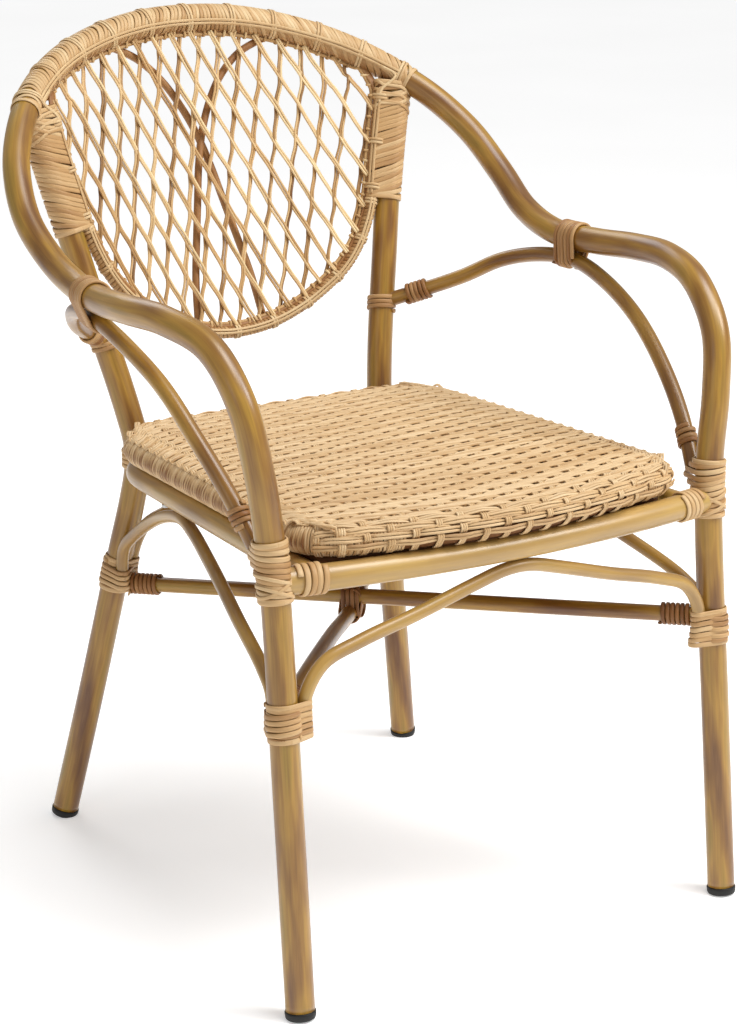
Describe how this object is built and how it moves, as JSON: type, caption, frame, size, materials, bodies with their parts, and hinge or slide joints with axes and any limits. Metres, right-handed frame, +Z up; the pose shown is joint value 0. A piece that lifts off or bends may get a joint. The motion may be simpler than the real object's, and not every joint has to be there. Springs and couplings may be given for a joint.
{
  "type": "bistro armchair",
  "caption": "bistro armchair: bamboo-look bent tube frame with lashed joints, open lattice back, arm braces and a woven seat panel.",
  "frame": {"origin": "on the floor, under the middle of the chair's overall box", "axes": "+Z up, the sitter faces -Y, the sitter's left is +X"},
  "size_m": [0.6054, 0.6658, 0.8465],
  "materials": {
    "frame_paint": "bamboo-coloured satin paint with faint darker mottling",
    "strand_light": "flat light tan strand, satin",
    "strand_dark": "darker brown strand, satin",
    "lattice_strand": "light tan strand, satin",
    "seat_weave": "woven flat strands, matt tan",
    "rubber": "black moulded rubber",
    "steel": "plated screw"
  },
  "bodies": {
    "root": {"arm_and_hoop_tube": "frame_paint", "rear_leg_left": "frame_paint", "rear_leg_right": "frame_paint", "front_seat_rail": "frame_paint", "side_and_rear_seat_rail": "frame_paint", "arm_brace_left": "frame_paint", "arm_brace_right": "frame_paint", "front_arch_brace": "frame_paint", "rear_arch_brace": "frame_paint", "side_arch_brace_left": "frame_paint", "side_arch_brace_right": "frame_paint", "upper_stretcher": "frame_paint", "lower_stretcher": "frame_paint", "back_ring": "strand_light", "hoop_lashing": "strand_light", "post_lashing_left": "strand_light", "post_lashing_right": "strand_light", "ring_lashing": "strand_light", "arm_lashing_left": "strand_light", "arm_lashing_right": "strand_light", "brace_lashing_left": "strand_light", "brace_lashing_right": "strand_light", "post_brace_lashing_left": "strand_light", "post_brace_lashing_right": "strand_light", "front_joint_lashing_left": "strand_light", "front_joint_lashing_right": "strand_light", "brace_end_lashing_left": "strand_light", "brace_end_lashing_right": "strand_light", "rail_lashing_left": "strand_light", "rail_lashing_right": "strand_light", "front_leg_lashing_left": "strand_light", "front_leg_lashing_right": "strand_light", "rear_leg_lashing_left": "strand_light", "rear_leg_lashing_right": "strand_light", "rear_joint_lashing_left": "strand_light", "rear_joint_lashing_right": "strand_light", "back_cane_left": "strand_dark", "back_cane_right": "strand_dark", "upper_stretcher_front_lashing": "strand_dark", "upper_stretcher_rear_lashing": "strand_dark", "lower_stretcher_front_lashing": "strand_dark", "lower_stretcher_rear_lashing": "strand_dark", "stretcher_crossing_lashing": "strand_dark", "back_lattice": "lattice_strand", "seat_panel": "seat_weave", "seat_screw_front_left": "steel", "seat_screw_front_right": "steel", "seat_screw_rear_left": "steel", "seat_screw_rear_right": "steel", "front_foot_cap_left": "rubber", "front_foot_cap_right": "rubber", "rear_foot_cap_left": "rubber", "rear_foot_cap_right": "rubber"}
  },
  "joints": []
}
